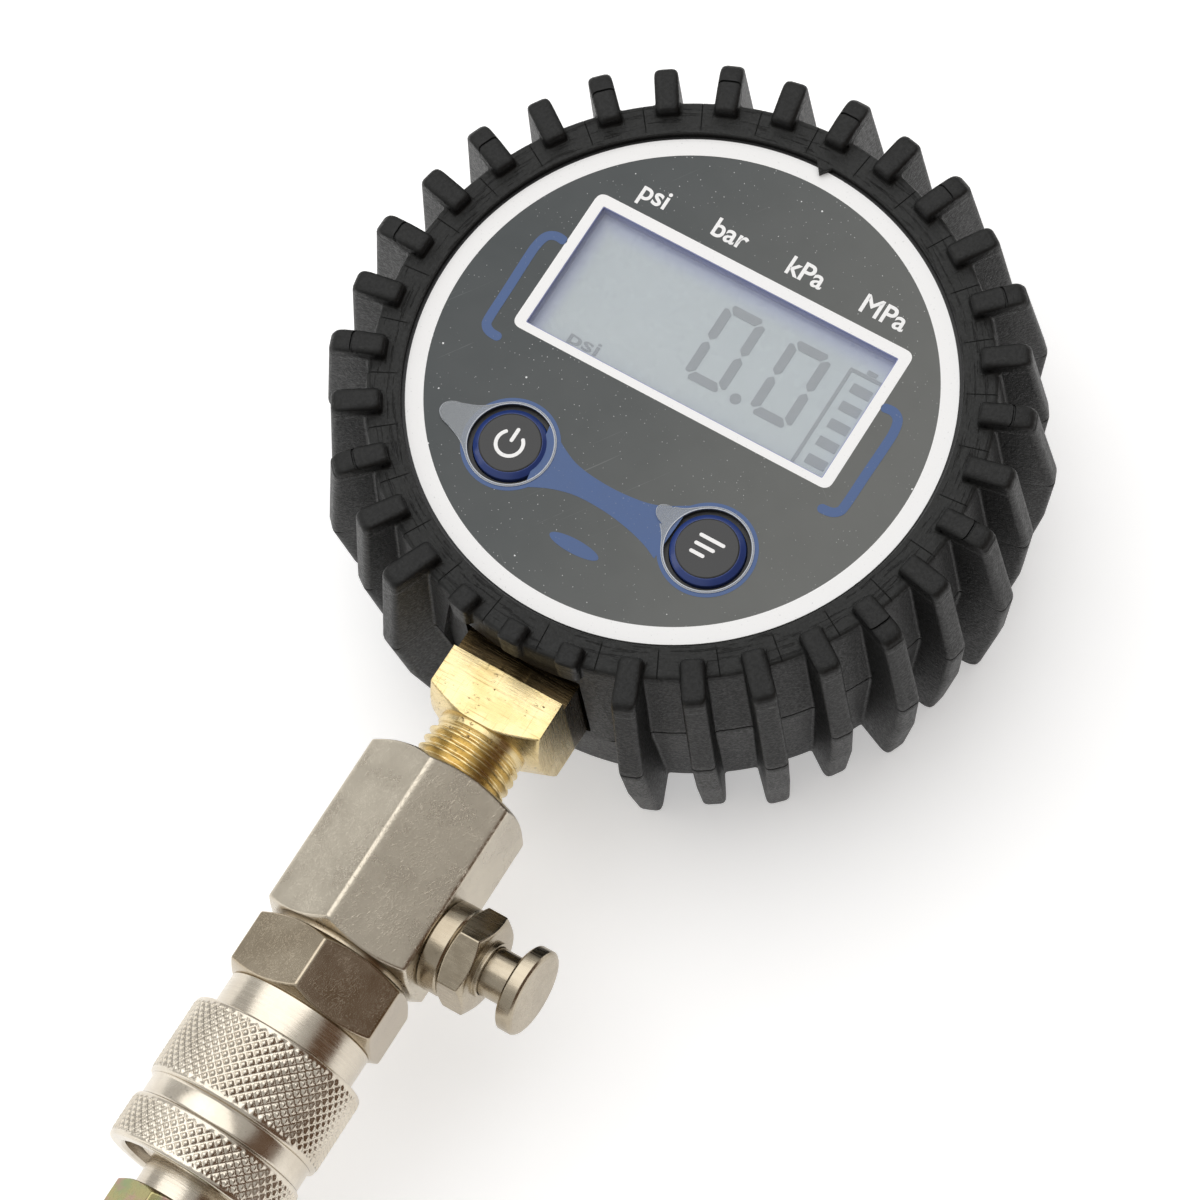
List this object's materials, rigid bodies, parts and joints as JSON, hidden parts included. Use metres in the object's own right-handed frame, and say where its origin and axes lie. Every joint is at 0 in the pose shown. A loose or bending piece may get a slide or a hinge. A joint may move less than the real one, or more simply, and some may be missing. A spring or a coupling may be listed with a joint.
{
  "type": "tyre inflator with gauge",
  "caption": "Round digital tyre-pressure head in a ribbed rubber boot, with a bleed-valve manifold and a knurled quick coupler holding a hose plug.",
  "frame": {"origin": "centre of the boot's back, on the plane the gauge lies on", "axes": "+Z is the dial's outward normal, +Y points to twelve o'clock, and the stem runs along -Y"},
  "size_m": [0.0976, 0.1875, 0.043],
  "materials": {
    "boot_rubber": "matt",
    "case_plastic": "textured",
    "label_film": "satin",
    "clear_plastic": "gloss",
    "lcd_glass": "gloss",
    "white_plastic": "satin",
    "button_plastic": "satin",
    "board_green": "solder mask",
    "black_rubber": "smooth",
    "steel": "bright",
    "brass": "machined",
    "nickel": "nickel plated, satin",
    "yellow_zinc": "yellow zinc passivated",
    "cell_wrap": "gloss"
  },
  "bodies": {
    "head": {"boot": "boot_rubber", "front_case": "case_plastic", "rear_case": "case_plastic", "case_screws": "steel", "battery_door": "case_plastic", "battery_door_screw": "steel", "battery_lower": "cell_wrap", "battery_upper": "cell_wrap", "battery_spring_contacts": "steel", "battery_flat_contacts": "steel", "face_label": "label_film", "display_lens": "clear_plastic", "lcd_panel": "lcd_glass", "backlight_panel": "white_plastic", "lcd_elastomer_strip": "black_rubber", "lcd_holder": "white_plastic", "circuit_board": "board_green", "circuit_board_screws": "steel", "processor": "case_plastic", "power_button_film": "clear_plastic", "mode_button_film": "clear_plastic", "power_switch_body": "case_plastic", "mode_switch_body": "case_plastic", "pressure_sensor": "steel", "sensor_seal": "black_rubber", "gauge_fitting": "brass", "gauge_fitting_screws": "steel", "manifold_body": "nickel", "gauge_thread_seal": "black_rubber", "adapter_thread_seal": "black_rubber", "bleed_valve_seat": "nickel", "bleed_valve_nut": "nickel", "bleed_valve_spring": "steel", "coupler_adapter": "nickel", "coupler_body": "nickel", "sleeve_spring": "steel", "retaining_ring": "steel", "coupler_poppet": "brass", "poppet_seal": "black_rubber", "poppet_spring": "steel", "socket_seal": "black_rubber"},
    "power_button": {"power_button_cap": "button_plastic", "power_switch_stem": "white_plastic"},
    "mode_button": {"mode_button_cap": "button_plastic", "mode_switch_stem": "white_plastic"},
    "bleed_valve": {"bleed_valve_stem": "nickel", "bleed_valve_knob": "nickel", "bleed_valve_washer": "black_rubber"},
    "sleeve": {"coupler_sleeve": "nickel"},
    "plug": {"air_plug": "nickel", "hose_adapter": "yellow_zinc"},
    "ball_1": {"locking_ball_1": "steel"},
    "ball_2": {"locking_ball_2": "steel"},
    "ball_3": {"locking_ball_3": "steel"},
    "ball_4": {"locking_ball_4": "steel"},
    "ball_5": {"locking_ball_5": "steel"},
    "ball_6": {"locking_ball_6": "steel"}
  },
  "joints": [
    {"name": "power_button_press", "type": "slide", "parent": "head", "child": "power_button", "axis": [0, 0, -1], "range_m": [0, 0.0006], "stiffness_N_per_m": 3000, "springref_m": -0.0002},
    {"name": "mode_button_press", "type": "slide", "parent": "head", "child": "mode_button", "axis": [0, 0, -1], "range_m": [0, 0.0006], "stiffness_N_per_m": 3000, "springref_m": -0.0002},
    {"name": "bleed_valve_press", "type": "slide", "parent": "head", "child": "bleed_valve", "axis": [-0.9976, 0, -0.0698], "range_m": [0, 0.0015], "stiffness_N_per_m": 2500, "springref_m": -0.001, "deforming": ["bleed_valve_spring"]},
    {"name": "sleeve_pull", "type": "slide", "parent": "head", "child": "sleeve", "axis": [0, 1, 0], "range_m": [0, 0.004], "stiffness_N_per_m": 1500, "springref_m": -0.002, "deforming": ["sleeve_spring"]},
    {"name": "plug_swivel", "type": "hinge", "parent": "head", "child": "plug", "pos_m": [0, -0.1125, 0.02725], "axis": [0, -1, 0], "continuous": true},
    {"name": "ball_1_release", "type": "slide", "parent": "head", "child": "ball_1", "axis": [1, 0, 0], "range_m": [0, 0.0012]},
    {"name": "ball_2_release", "type": "slide", "parent": "head", "child": "ball_2", "axis": [0.5, 0, 0.866], "range_m": [0, 0.0012]},
    {"name": "ball_3_release", "type": "slide", "parent": "head", "child": "ball_3", "axis": [-0.5, 0, 0.866], "range_m": [0, 0.0012]},
    {"name": "ball_4_release", "type": "slide", "parent": "head", "child": "ball_4", "axis": [-1, 0, 0], "range_m": [0, 0.0012]},
    {"name": "ball_5_release", "type": "slide", "parent": "head", "child": "ball_5", "axis": [-0.5, 0, -0.866], "range_m": [0, 0.0012]},
    {"name": "ball_6_release", "type": "slide", "parent": "head", "child": "ball_6", "axis": [0.5, 0, -0.866], "range_m": [0, 0.0012]}
  ],
  "couplings": [
    {"joint": "ball_1_release", "follows": "sleeve_pull", "ratio": 0.3},
    {"joint": "ball_2_release", "follows": "sleeve_pull", "ratio": 0.3},
    {"joint": "ball_3_release", "follows": "sleeve_pull", "ratio": 0.3},
    {"joint": "ball_4_release", "follows": "sleeve_pull", "ratio": 0.3},
    {"joint": "ball_5_release", "follows": "sleeve_pull", "ratio": 0.3},
    {"joint": "ball_6_release", "follows": "sleeve_pull", "ratio": 0.3}
  ]
}
